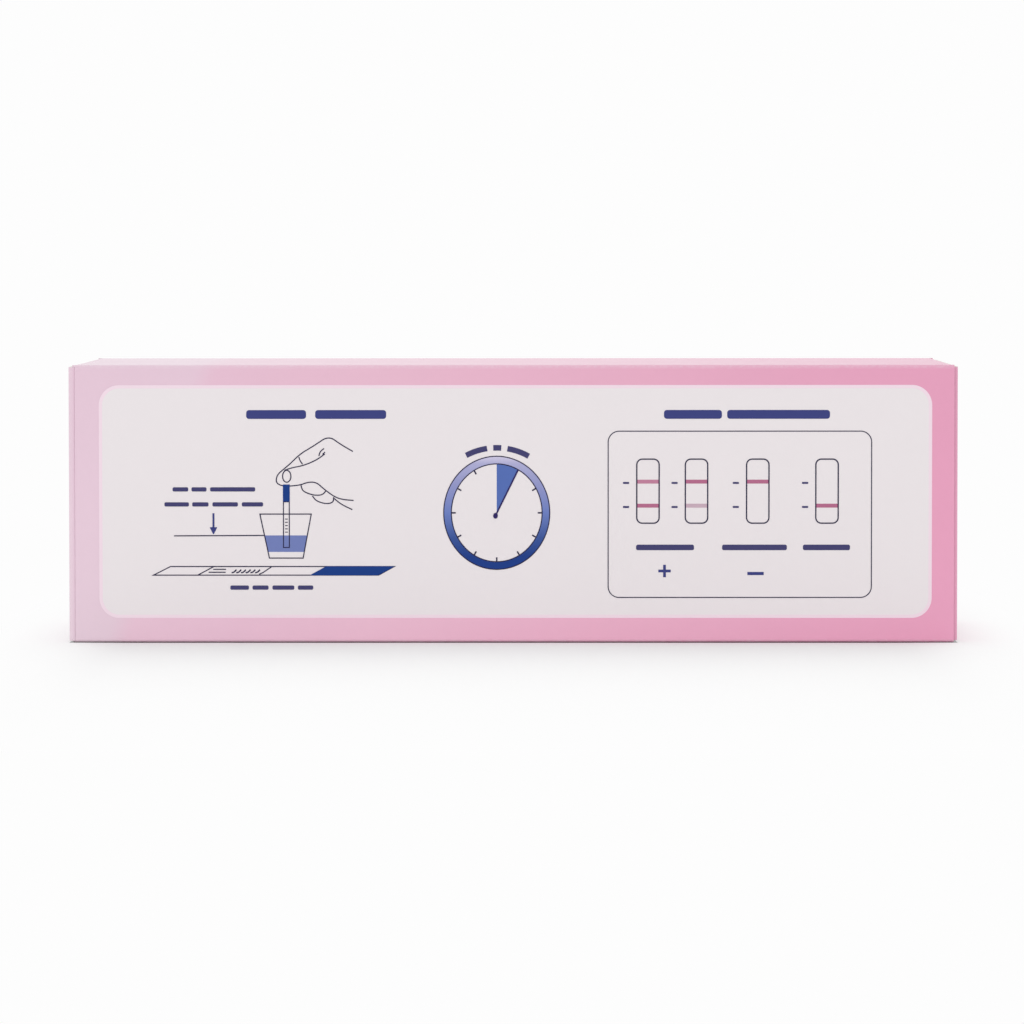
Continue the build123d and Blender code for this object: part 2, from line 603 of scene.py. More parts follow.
@cache
def fibre_grain() -> Tree:
    """Fine fibre grain of coated board or paper, and uneven ink over it.

    Returns:
        The group, from a place in millimetres to a shade, a height and a change of roughness.
    """
    sketch, entry, out = new_group(
        "fibre_grain",
        {"Place": "Vector", "Unevenness": "Float"},
        {"Shade": "Float", "Height": "Float", "Gloss": "Float"},
    )
    place = entry.outputs["Place"]
    cloud = sketch.noise(place, scale=0.11, detail=3.0)
    mottle = sketch.noise(place, scale=0.9)
    fibre = sketch.noise(place, scale=5.5, detail=3.0)
    uneven = cloud * 0.5 + mottle * 0.3 + fibre * 0.2 - 0.5
    shade = uneven * entry.outputs["Unevenness"] + 1.0
    height = fibre * 0.35 + mottle * 0.65
    sketch.fill(out, {"Shade": shade, "Height": height, "Gloss": uneven * 0.35})
    return sketch.tree


@cache
def pink_wash() -> Tree:
    """Pink wash that deepens to the right, with a paler wedge at the left end, and painted light that makes
    it lighter towards the bottom and a little darker at the top.

    Returns:
        The group, from a place in millimetres to a colour.
    """
    sketch, entry, out = new_group("pink_wash", {"Place": "Vector"}, {"Colour": "Color"})
    x, _, z = sketch.parts(entry.outputs["Place"])
    height = 2 * HALF_HEIGHT
    wedge_foot, wedge_slope = -60.5, 0.33
    painted_light_at_bottom, painted_light_fall = 1.045, 0.055
    pinks = (
        (0.02, (227, 193, 209)),
        (0.18, (228, 188, 207)),
        (0.34, (230, 184, 204)),
        (0.50, (230, 176, 199)),
        (0.66, (229, 169, 194)),
        (0.82, (228, 162, 190)),
        (0.98, (228, 157, 187)),
    )
    pale = ((0.0, (224, 200, 213)), (0.5, (227, 199, 214)), (1.0, (227, 197, 213)))
    along = x * (0.5 / HALF_LENGTH) + 0.5
    wedge = sketch.step(z * wedge_slope + wedge_foot - x, -2.0, 2.5)
    wash = sketch.mix(wedge, sketch.ramp(along, pinks), sketch.ramp(z * (1 / height), pale))
    # Painted light: the wash is multiplied lighter towards the bottom and a little darker towards the top,
    # to even out the lamps' shading.
    lift = sketch.grey(z * (-painted_light_fall / height) + painted_light_at_bottom)
    sketch.fill(out, {"Colour": sketch.mix(1.0, wash, lift, "MULTIPLY")})
    return sketch.tree


@cache
def fold_wear_and_highlight() -> Tree:
    """Where the carton's folds lie, broken up in patches: real wear of the coating and a painted highlight
    along the rounded folds.

    Returns:
        The group, from a place in millimetres to a mask.
    """
    sketch, entry, out = new_group("fold_wear_and_highlight", {"Place": "Vector"}, {"Mask": "Float"})
    place = entry.outputs["Place"]
    x, y, z = sketch.parts(place)
    side = HALF_DEPTH - abs(y)
    level = HALF_HEIGHT - abs(z - HALF_HEIGHT)
    end = HALF_LENGTH - abs(x)
    nearest = side.larger(level).smaller(side.smaller(level).larger(end))
    full_wear_and_highlight_to, wear_and_highlight_to, least = 0.12, 0.75, 0.4
    worn_and_highlight = 1.0 - sketch.step(nearest, full_wear_and_highlight_to, wear_and_highlight_to)
    patchy = sketch.step(sketch.noise(place, scale=1.7, detail=4.0), 0.35, 0.7)
    sketch.fill(out, {"Mask": worn_and_highlight * (patchy * (1 - least) + least)})
    return sketch.tree


class Surface:
    """A material in the making, with the fibre grain over it."""

    def __init__(self, name: str, unevenness: float) -> None:
        """Start a material.

        Args:
            name: Name of the material.
            unevenness: How much the grain changes its shade.
        """
        self.material = bpy.data.materials.new(name)
        self.material.use_nodes = True
        self.sketch = Sketch(self.material.node_tree)
        where = self.sketch.add("ShaderNodeTexCoord")
        self.place = self.sketch.millimetres(where.outputs["Object"])
        self.normal = where.outputs["Normal"]
        self.grain = self.sketch.use(fibre_grain(), Place=self.place, Unevenness=unevenness)

    def finish(
        self, colour: object, bumps: Spot, inputs: dict[str, object], height: Value | None = None
    ) -> Material:
        """Join everything to the shader.

        Args:
            colour: Its colour, before the grain shades it.
            bumps: Strength of its bumps, and their depth in millimetres.
            inputs: The shader's other inputs.
            height: What the bumps follow, if not the grain.

        Returns:
            The material.
        """
        shade = self.sketch.grey(self.grain["Shade"])
        shape = {"Strength": bumps[0], "Distance": bumps[1] * MM, "Height": height or self.grain["Height"]}
        joined = {
            "Base Color": self.sketch.mix(1.0, colour, shade, "MULTIPLY"),
            "Normal": self.sketch.add("ShaderNodeBump", shape).outputs[0],
        }
        self.sketch.fill(self.material.node_tree.nodes["Principled BSDF"], inputs | joined)
        return self.material


# Finishes


@dataclass(frozen=True)
class BoardFinish:
    """Coated board, printed pink outside, plain inside and raw at its cut edges."""

    name: str
    inside: Colour = (219, 217, 212)
    fibre: Colour = (211, 208, 202)
    raw: Colour = (224, 218, 210)
    worn_and_highlight: Colour = (236, 220, 228)
    roughness: float = 0.42
    rougher_plain: float = 0.25
    rougher_worn: float = 0.12
    wear_and_highlight: float = 0.35
    coat: float = 0.55
    coat_roughness: float = 0.22
    specular: float = 0.2
    unevenness: float = 0.06
    bumps: Spot = (0.25, 0.03)

    def faces(self, place: list[Value], normal: list[Value]) -> tuple[Value, Value]:
        """Find the printed outside and the cut edges.

        Args:
            place: The three parts of a place, in millimetres.
            normal: The three parts of the normal there.

        Returns:
            A mask of the printed outside and a mask of the cut edges.
        """
        raise NotImplementedError

    def material(self) -> Material:
        """Make the material.

        Returns:
            The material.
        """
        surface = Surface(self.name, self.unevenness)
        sketch, place = surface.sketch, surface.place
        printed, raw = self.faces(sketch.parts(place), sketch.parts(surface.normal))
        wash = sketch.use(pink_wash(), Place=place)["Colour"]
        wear_and_highlight = sketch.use(fold_wear_and_highlight(), Place=place)["Mask"]
        # Paler pink along the folds: partly real wear, partly a painted highlight where the rounded folds
        # catch light.
        ink = sketch.mix(wear_and_highlight * self.wear_and_highlight, wash, linear(self.worn_and_highlight))
        fibres = sketch.step(sketch.noise(place, scale=1.1, detail=4.0), 0.35, 0.75)
        plain = sketch.mix(fibres, linear(self.inside), linear(self.fibre))
        colour = sketch.mix(raw, sketch.mix(printed, plain, ink), linear(self.raw))
        roughness = (1.0 - printed) * self.rougher_plain + self.roughness
        inputs = {
            "Roughness": roughness + wear_and_highlight * self.rougher_worn + surface.grain["Gloss"],
            "Coat Weight": printed * self.coat,
            "Coat Roughness": self.coat_roughness,
            "Specular IOR Level": self.specular,
        }
        return surface.finish(colour, self.bumps, inputs)


@dataclass(frozen=True)
class BodyBoardFinish(BoardFinish):
    """Board of the body, raw where a panel ends without a flap and along the dust flaps' edges."""

    name: str = "printed_body_board"
    skin: float = 0.3
    end_on: float = 0.5
    panels_from: float = 24.45
    dust_flaps_from: float = 67.02
    dust_flap_faces_from: float = 67.3
    bleed_from: float = 18.3
    inside_panels: Spot = (24.6, 20.3)

    def faces(self, place: list[Value], normal: list[Value]) -> tuple[Value, Value]:
        """Find the printed outside and the cut edges.

        Args:
            place: The three parts of a place, in millimetres.
            normal: The three parts of the normal there.

        Returns:
            A mask of the printed outside and a mask of the cut edges.
        """
        x, y, z = place
        side = x.work("SIGN")
        far_x, far_y, far_z = abs(x), abs(y), abs(z - HALF_HEIGHT)
        outside = (far_y - HALF_DEPTH).larger(far_z - HALF_HEIGHT) > -self.skin
        end_face = normal[0] * side > self.end_on
        free_end = end_face * (far_y > self.panels_from) * (y * side < 0.0)
        bleed = end_face * (far_x > self.dust_flap_faces_from) * (far_z > self.bleed_from)
        inner = (far_y < self.inside_panels[0]) * (far_z < self.inside_panels[1])
        flap_edge = (far_x > self.dust_flaps_from) * (abs(normal[0]) < self.end_on) * inner
        return outside.larger(bleed), free_end.larger(flap_edge)


@dataclass(frozen=True)
class FlapBoardFinish(BoardFinish):
    """Board of a closing flap, either one."""

    name: str = "printed_flap_board"
    outward: float = 0.3
    bead_from: float = 24.2
    bleed_from: float = 65.0
    cut_side: float = 0.7
    tip_to: float = 60.0
    cut_tip: float = 0.6

    def faces(self, place: list[Value], normal: list[Value]) -> tuple[Value, Value]:
        """Find the printed outside and the cut edges.

        Args:
            place: The three parts of a place, in millimetres.
            normal: The three parts of the normal there.

        Returns:
            A mask of the printed outside and a mask of the cut edges.
        """
        x, y, _ = place
        side = x.work("SIGN")
        out = normal[0] * side
        bead = y * side > self.bead_from
        turned_in = (normal[1] * side < -self.outward) * (abs(x) > self.bleed_from)
        tip = (abs(x) < self.tip_to) * (out < -self.cut_tip)
        printed = (out > self.outward).larger(bead).larger(turned_in)
        return printed, (abs(normal[2]) > self.cut_side).larger(tip)


@dataclass(frozen=True)
class InkFinish:
    """One printed ink: one colour, or colours that follow each other up a span of heights."""

    name: str
    colour: Colour | Stops
    unevenness: float = 0.05
    span: Spot | None = None
    roughness: float = 0.45
    specular: float = 0.15
    bumps: Spot = (0.2, 0.03)

    @cache
    def material(self) -> Material:
        """Make the material, once.

        Returns:
            The material.
        """
        surface = Surface(self.name, self.unevenness)
        if self.span:
            rise = self.span[1] - self.span[0]
            z = surface.sketch.parts(surface.place)[2]
            ink = surface.sketch.ramp(z * (1 / rise) - self.span[0] / rise, self.colour)
        else:
            ink = linear(self.colour)
        inputs = {"Roughness": surface.grain["Gloss"] + self.roughness, "Specular IOR Level": self.specular}
        return surface.finish(ink, self.bumps, inputs)


@dataclass(frozen=True)
class FoilFinish:
    """Aluminised film, crinkled all over and ribbed where its ends are sealed."""

    name: str = "aluminised_film"
    silver: Colour = (226, 226, 229)
    shadow: Colour = (196, 197, 202)
    metal: float = 0.45
    roughness: float = 0.26
    seal_start: float = 56.8
    seal_edge: float = 0.3
    rib_pitch: float = 0.9
    rib_height: float = 0.25
    unevenness: float = 0.08
    bumps: Spot = (0.5, 0.4)

    def material(self) -> Material:
        """Make the material.

        Returns:
            The material.
        """
        surface = Surface(self.name, self.unevenness)
        sketch = surface.sketch
        x = sketch.parts(surface.place)[0]
        crinkle = sketch.noise(surface.place, scale=0.45, detail=5.0)
        seal = sketch.step(abs(x), self.seal_start - self.seal_edge, self.seal_start + self.seal_edge)
        ribs = seal * (x * (math.tau / self.rib_pitch)).work("SINE")
        tone = sketch.mix(sketch.step(crinkle, 0.35, 0.65), linear(self.silver), linear(self.shadow))
        inputs = {"Metallic": self.metal, "Roughness": crinkle * 0.2 + self.roughness}
        return surface.finish(tone, self.bumps, inputs, ribs * self.rib_height + crinkle)


@dataclass(frozen=True)
class PaperFinish:
    """Thin uncoated white paper."""

    name: str = "leaflet_sheet"
    white: Colour = (240, 239, 234)
    roughness: float = 0.85
    unevenness: float = 0.12
    bumps: Spot = (0.4, 0.05)

    def material(self) -> Material:
        """Make the material.

        Returns:
            The material.
        """
        surface = Surface(self.name, self.unevenness)
        inputs = {"Roughness": surface.grain["Gloss"] + self.roughness}
        return surface.finish(linear(self.white), self.bumps, inputs)


class Ink(Enum):
    """Every ink of the front panel."""

    FIELD = InkFinish("field_white", (233, 227, 229), unevenness=0.03)
    RIM = InkFinish("field_rim", (240, 219, 230), unevenness=0.02)
    NAVY = InkFinish("heading_navy", (58, 64, 124))
    SLATE = InkFinish("caption_slate", (66, 64, 108))
    LINE = InkFinish("drawing_line", (40, 36, 68))
    BLUE = InkFinish("handle_blue", (20, 58, 129))
    LIQUID = InkFinish("liquid_blue", (113, 126, 181))
    SECTOR = InkFinish("sector_blue", (84, 109, 177))
    VIOLET = InkFinish("dial_violet", (44, 34, 92))
    CRIMSON = InkFinish("band_crimson", (178, 106, 137))
    ROSE = InkFinish("band_rose", (190, 127, 153))
    BLUSH = InkFinish("band_blush", (197, 170, 184))
    RING = InkFinish(
        "dial_ring_blue",
        (
            (0.0, (22, 58, 132)),
            (0.12, (28, 60, 133)),
            (0.28, (58, 84, 150)),
            (0.5, (107, 126, 190)),
            (0.75, (146, 150, 198)),
            (0.93, (172, 172, 210)),
            (1.0, (210, 204, 228)),
        ),
        span=(11.2, 28.6),
    )


# The carton's own pieces


@dataclass
class Board:
    """The folded body and the two closing flaps, which keep their CAD shapes."""

    body: str = "carton_body"
    flaps: Sequence[str] = ("left_end_flap", "right_end_flap")

    def dress(self, nodes: dict[str, Piece]) -> None:
        """Dress the board's nodes.

        Args:
            nodes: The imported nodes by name.
        """
        dress(nodes[self.body], BodyBoardFinish().material())
        flap_board = FlapBoardFinish().material()
        for name in self.flaps:
            dress(nodes[name], flap_board)
        log.info("board: %s and %s dressed", self.body, " and ".join(self.flaps))


@dataclass
class FrontPrint:
    """What every part of the front panel's print shares."""

    front: float
    film: float = 0.02
    hair: float = 0.0004

    def lay(self, name: str, shapes: Sequence[Piece], layer: Layer, ink: Ink) -> None:
        """Print flat shapes as one piece, a thin film of one ink.

        Args:
            name: Name of the piece.
            shapes: The flat shapes, each later one a hair in front of the one before it.
            layer: How far in front of the panel the film's back lies.
            ink: Its ink.
        """
        for number, shape in enumerate(shapes):
            shape.location.y = (self.front - layer.value - self.hair * number) * MM
            apply_place(shape)
        pick(*shapes)
        if len(shapes) > 1:
            bpy.ops.object.join()
        piece = shapes[0]
        apply_place(piece)
        piece.name = piece.data.name = name
        open_mesh(piece, "FACE")
        choose(piece, "FACE", lambda _centre, normal: normal.y > 0)
        bpy.ops.mesh.flip_normals()
        close_mesh()
        apply_modifier(piece, "SOLIDIFY", thickness=self.film * MM, offset=1.0)
        open_mesh(piece, "FACE", "SELECT")
        bpy.ops.mesh.normals_make_consistent(inside=False)
        close_mesh()
        settle(piece, ink.value.material(), Body.CARTON)


@dataclass
class WhiteField(FrontPrint):
    """The pale field with round corners that carries the print."""

    centre: Spot = (0.33, 21.62)
    size: Spot = (127.35, 35.66)
    radius: float = 3.1
    rim: float = 0.5

    def build(self) -> None:
        """Print the field and the blush line along its edge."""
        field, rim = (plate(self.centre, self.size, self.radius, steps=16) for _ in range(2))
        self.lay("front_white_field", [field], Layer.FIELD, Ink.FIELD)
        self.lay("front_field_rim", [hollow(rim, self.rim)], Layer.TINT, Ink.RIM)


@dataclass
class WordBars(FrontPrint):
    """Plain bars where a carton of this kind has its wording."""

    headings: tuple[Row, ...] = ((34.95, ((-40.8, -31.65), (-30.25, -19.4), (23.05, 31.9), (32.7, 48.4))),)
    captions: tuple[Row, ...] = (
        (23.5, ((-52.1, -49.7), (-49.2, -46.9), (-46.35, -39.45))),
        (21.2, ((-53.35, -49.6), (-49.1, -46.6), (-46.0, -42.1), (-41.5, -38.25))),
        (8.45, ((-43.3, -40.45), (-39.9, -37.45), (-36.85, -33.5), (-32.95, -30.6))),
    )
    results: tuple[Row, ...] = ((14.6, ((18.8, 27.65), (31.95, 41.85), (44.3, 51.5))),)
    heading_height: float = 1.35
    caption_height: float = 0.65
    result_height: float = 0.85
    roundness: float = 0.32

    def bars(self, rows: Iterable[Row], height: float) -> list[Piece]:
        """Make bars with round ends.

        Args:
            rows: Each row's height on the panel, with the left and right end of its bars.
            height: How tall each bar is.

        Returns:
            The bars.
        """
        return [
            plate(((left + right) / 2, level), (right - left, height), height * self.roundness, steps=4)
            for level, ends in rows
            for left, right in ends
        ]

    def build(self) -> None:
        """Print the bars."""
        self.lay("heading_bars", self.bars(self.headings, self.heading_height), Layer.LINE, Ink.NAVY)
        self.lay("caption_bars", self.bars(self.captions, self.caption_height), Layer.LINE, Ink.SLATE)
        self.lay("result_name_bars", self.bars(self.results, self.result_height), Layer.LINE, Ink.SLATE)


@dataclass
class DipDrawing(FrontPrint):
    """A strip held into a cup, with the line that it is dipped to."""

    line: float = 0.17
    cup: tuple[Spot, Spot, Spot] = ((-37.37, -32.07), (-38.85, -30.78), (12.89, 19.8))
    liquid: tuple[Spot, Spot, Spot] = ((-37.52, -31.96), (-38.05, -31.5), (13.92, 16.45))
    strip: tuple[Spot, Spot] = ((-34.69, 18.1), (1.05, 7.15))
    handle: tuple[Spot, Spot] = ((-34.69, 22.95), (1.05, 2.6))
    mark_size: Spot = (0.42, 0.13)
    mark_rows: Sequence[float] = (18.95, 18.45, 17.95, 17.45, 16.95)
    level_line: Line = ((-51.9, 16.38), (-38.1, 16.44))
    arrow_top: Spot = (-45.85, 19.85)
    arrow_base: float = 17.7
    arrow_tip: float = 16.65
    arrow_width: float = 1.15
    tip_width: float = 0.12
    back_of_hand: Line = (
        (-24.5, 29.3), (-26.4, 30.4), (-28.2, 31.7), (-30.4, 30.2), (-32.6, 28.9), (-34.1, 27.4),
        (-35.2, 26.5), (-36.1, 25.7), (-36.3, 24.6), (-35.6, 24.1), (-34.9, 24.05),
    )
    finger: Line = ((-35.0, 26.4), (-33.9, 26.8), (-32.2, 27.1), (-30.2, 27.9), (-28.8, 28.9))
    knuckle: Line = ((-32.75, 28.45), (-32.6, 27.9), (-32.2, 27.35))
    thumb: Line = (
        (-34.15, 24.0), (-32.6, 24.15), (-31.4, 24.6), (-30.1, 24.6), (-29.0, 23.6), (-27.4, 22.4),
        (-26.2, 21.95), (-24.4, 21.8),
    )
    thumb_pad: Line = ((-32.45, 24.15), (-32.2, 23.2), (-30.6, 22.6), (-29.2, 22.6), (-28.6, 23.3))
    creases: tuple[Line, ...] = (
        ((-28.9, 29.75), (-29.5, 29.3), (-29.7, 28.6)),
        ((-28.75, 29.2), (-29.15, 28.85)),
    )
    bent_finger: Line = ((-30.7, 22.5), (-30.1, 21.7), (-28.6, 21.25), (-27.5, 21.5), (-27.45, 22.3))
    wrist: Line = ((-27.5, 22.2), (-26.3, 21.2), (-24.6, 20.4))
    nail: Oval = Oval((-34.62, 25.5), (0.72, 1.0))

    def build(self) -> None:
        """Print the drawing."""
        self.lay("cup_liquid", [slanted_plate(*self.liquid)], Layer.TINT, Ink.LIQUID)
        curves = (
            self.back_of_hand, self.finger, self.knuckle, self.thumb, self.thumb_pad,
            *self.creases, self.bent_finger, self.wrist,
        )
        lines = [
            hollow(slanted_plate(*self.cup), self.line),
            hollow(plate(*self.strip), self.line * 0.9),
            stroke(self.level_line, self.line),
            hollow(self.nail.disc(count=40), self.line),
            *(stroke(rounded(curve), self.line) for curve in curves),
            *(plate((self.strip[0][0], level), self.mark_size) for level in self.mark_rows),
        ]
        self.lay("dip_drawing_lines", lines, Layer.LINE, Ink.LINE)
        self.lay("dip_strip_handle", [plate(*self.handle)], Layer.ACCENT, Ink.BLUE)
        x, top = self.arrow_top
        shaft = plate((x, (top + self.arrow_base) / 2), (self.line * 1.7, top - self.arrow_base))
        tip, base = ((x - width / 2, x + width / 2) for width in (self.tip_width, self.arrow_width))
        head = slanted_plate(tip, base, (self.arrow_tip, self.arrow_base))
        self.lay("level_arrow", [shaft, head], Layer.ACCENT, Ink.NAVY)


@dataclass
class FlatStripDrawing(FrontPrint):
    """A strip that lies flat, seen at a slant."""

    line: float = 0.16
    low: Spot = (-55.4, -20.56)
    high: Spot = (-52.47, -17.88)
    span: Spot = (10.28, 11.76)
    handle: tuple[Spot, Spot, Spot] = ((-31.19, -20.72), (-28.61, -18.1), (10.32, 11.72))
    dividers: tuple[Line, ...] = (
        ((-48.28, 10.36), (-45.8, 11.68)),
        ((-38.9, 10.5), (-38.3, 10.75), (-36.95, 11.66)),
    )
    marks: tuple[Line, ...] = (((-45.9, 11.25), (-43.95, 11.25)), ((-46.6, 10.8), (-44.0, 10.8)))
    tick: Line = ((0.0, 10.75), (0.35, 10.78), (0.75, 11.2))
    ticks_from: float = -43.1
    ticks_pitch: float = 0.72
    ticks_count: int = 6

    def build(self) -> None:
        """Print the drawing."""
        lines = [hollow(slanted_plate(self.low, self.high, self.span), self.line)]
        lines += [stroke(points, self.line) for points in (*self.dividers, *self.marks)]
        for number in range(self.ticks_count):
            start = self.ticks_from + number * self.ticks_pitch
            tick = rounded([(start + x, z) for x, z in self.tick], rounds=2)
            lines.append(stroke(tick, self.line * 1.3))
        self.lay("flat_strip_lines", lines, Layer.LINE, Ink.LINE)
        self.lay("flat_strip_handle", [slanted_plate(*self.handle)], Layer.ACCENT, Ink.BLUE)


@dataclass
class DialDrawing(FrontPrint):
    """A plain dial with a shaded sector and short ticks."""

    edge: Oval = Oval((-2.51, 19.9), (8.19, 8.74))
    ring: float = 1.33
    line: float = 0.16
    sector_end: float = 28.3
    tick_length: float = 0.6
    tick_angles: Sequence[int] = range(60, 360, 30)
    hub: Oval = Oval((-2.7, 19.45), (0.36, 0.44))
    word_radius: float = 9.95
    word_height: float = 0.85
    word_spans: tuple[Spot, ...] = ((-28.0, -8.5), (-3.0, 4.0), (9.5, 29.5))

    def build(self) -> None:
        """Print the dial."""
        face = self.edge.inset(self.ring)
        tick_ends = self.edge.inset(self.ring + self.tick_length)
        self.lay("dial_ring", [hollow(self.edge.disc(), self.ring)], Layer.TINT, Ink.RING)
        outlines = (self.edge, self.edge.inset(self.ring - self.line))
        rims = [hollow(outline.disc(), self.line) for outline in outlines]
        for angle in self.tick_angles:
            rims.append(stroke((face.spot(angle), tick_ends.spot(angle)), self.line * 1.4))
        self.lay("dial_rims_and_ticks", rims, Layer.LINE, Ink.LINE)
        self.lay("dial_sector", [face.sector(0.0, self.sector_end)], Layer.TINT, Ink.SECTOR)
        hand = stroke((self.hub.centre, face.spot(self.sector_end)), self.line * 1.5)
        self.lay("dial_hand", [hand, self.hub.disc(count=32)], Layer.ACCENT, Ink.VIOLET)
        circle = Oval(self.edge.centre, (self.word_radius, self.word_radius))
        words = [stroke(circle.arc(*span), self.word_height) for span in self.word_spans]
        self.lay("dial_word_bars", words, Layer.LINE, Ink.SLATE)


@dataclass
class ResultsPanel(FrontPrint):
    """An outlined panel with four reading windows, their bands and two signs."""

    box_centre: Spot = (34.65, 19.66)
    box_size: Spot = (40.4, 25.6)
    box_radius: float = 1.75
    box_line: float = 0.15
    window_size: Spot = (3.62, 10.0)
    window_radius: float = 0.95
    window_line: float = 0.2
    window_level: float = 23.21
    windows: Sequence[float] = (20.61, 28.03, 37.39, 47.97)
    levels: Spot = (20.99, 24.67)
    band_height: float = 0.6
    crimson: tuple[tuple[int, int], ...] = ((0, 0), (1, 1), (2, 1), (3, 0))
    rose: tuple[tuple[int, int], ...] = ((0, 1),)
    blush: tuple[tuple[int, int], ...] = ((1, 0),)
    mark_offset: Spot = (3.35, 0.2)
    mark_size: Spot = (0.95, 0.3)
    plus: Spot = (23.15, 10.99)
    plus_bar: Spot = (1.9, 0.42)
    minus: Spot = (37.07, 10.6)
    minus_bar: Spot = (2.5, 0.48)

    def bands(self, which: Iterable[tuple[int, int]]) -> list[Piece]:
        """Make bands across windows.

        Args:
            which: Number of the window, and of the band's level, 0 for the lower one.

        Returns:
            The bands.
        """
        size = (self.window_size[0] - 2 * self.window_line, self.band_height)
        return [plate((self.windows[window], self.levels[level]), size) for window, level in which]

    def build(self) -> None:
        """Print the panel."""
        box = plate(self.box_centre, self.box_size, self.box_radius, steps=10)
        outline = hollow(box, self.box_line)
        spots = [(x, self.window_level) for x in self.windows]
        panes = [plate(spot, self.window_size, self.window_radius, steps=8) for spot in spots]
        frames = [hollow(pane, self.window_line) for pane in panes]
        self.lay("results_outline", [outline], Layer.LINE, Ink.LINE)
        self.lay("result_windows", frames, Layer.LINE, Ink.LINE)
        self.lay("bands_crimson", self.bands(self.crimson), Layer.TINT, Ink.CRIMSON)
        self.lay("band_rose", self.bands(self.rose), Layer.TINT, Ink.ROSE)
        self.lay("band_blush", self.bands(self.blush), Layer.TINT, Ink.BLUSH)
        left, down = self.mark_offset
        marks = [
            plate((x - left, level - down), self.mark_size, radius=0.1, steps=3)
            for x in self.windows
            for level in reversed(self.levels)
        ]
        self.lay("level_marks", marks, Layer.LINE, Ink.SLATE)
        signs = [
            plate(self.plus, self.plus_bar),
            plate(self.plus, self.plus_bar[::-1]),
            plate(self.minus, self.minus_bar),
        ]
        self.lay("plus_and_minus", signs, Layer.LINE, Ink.NAVY)


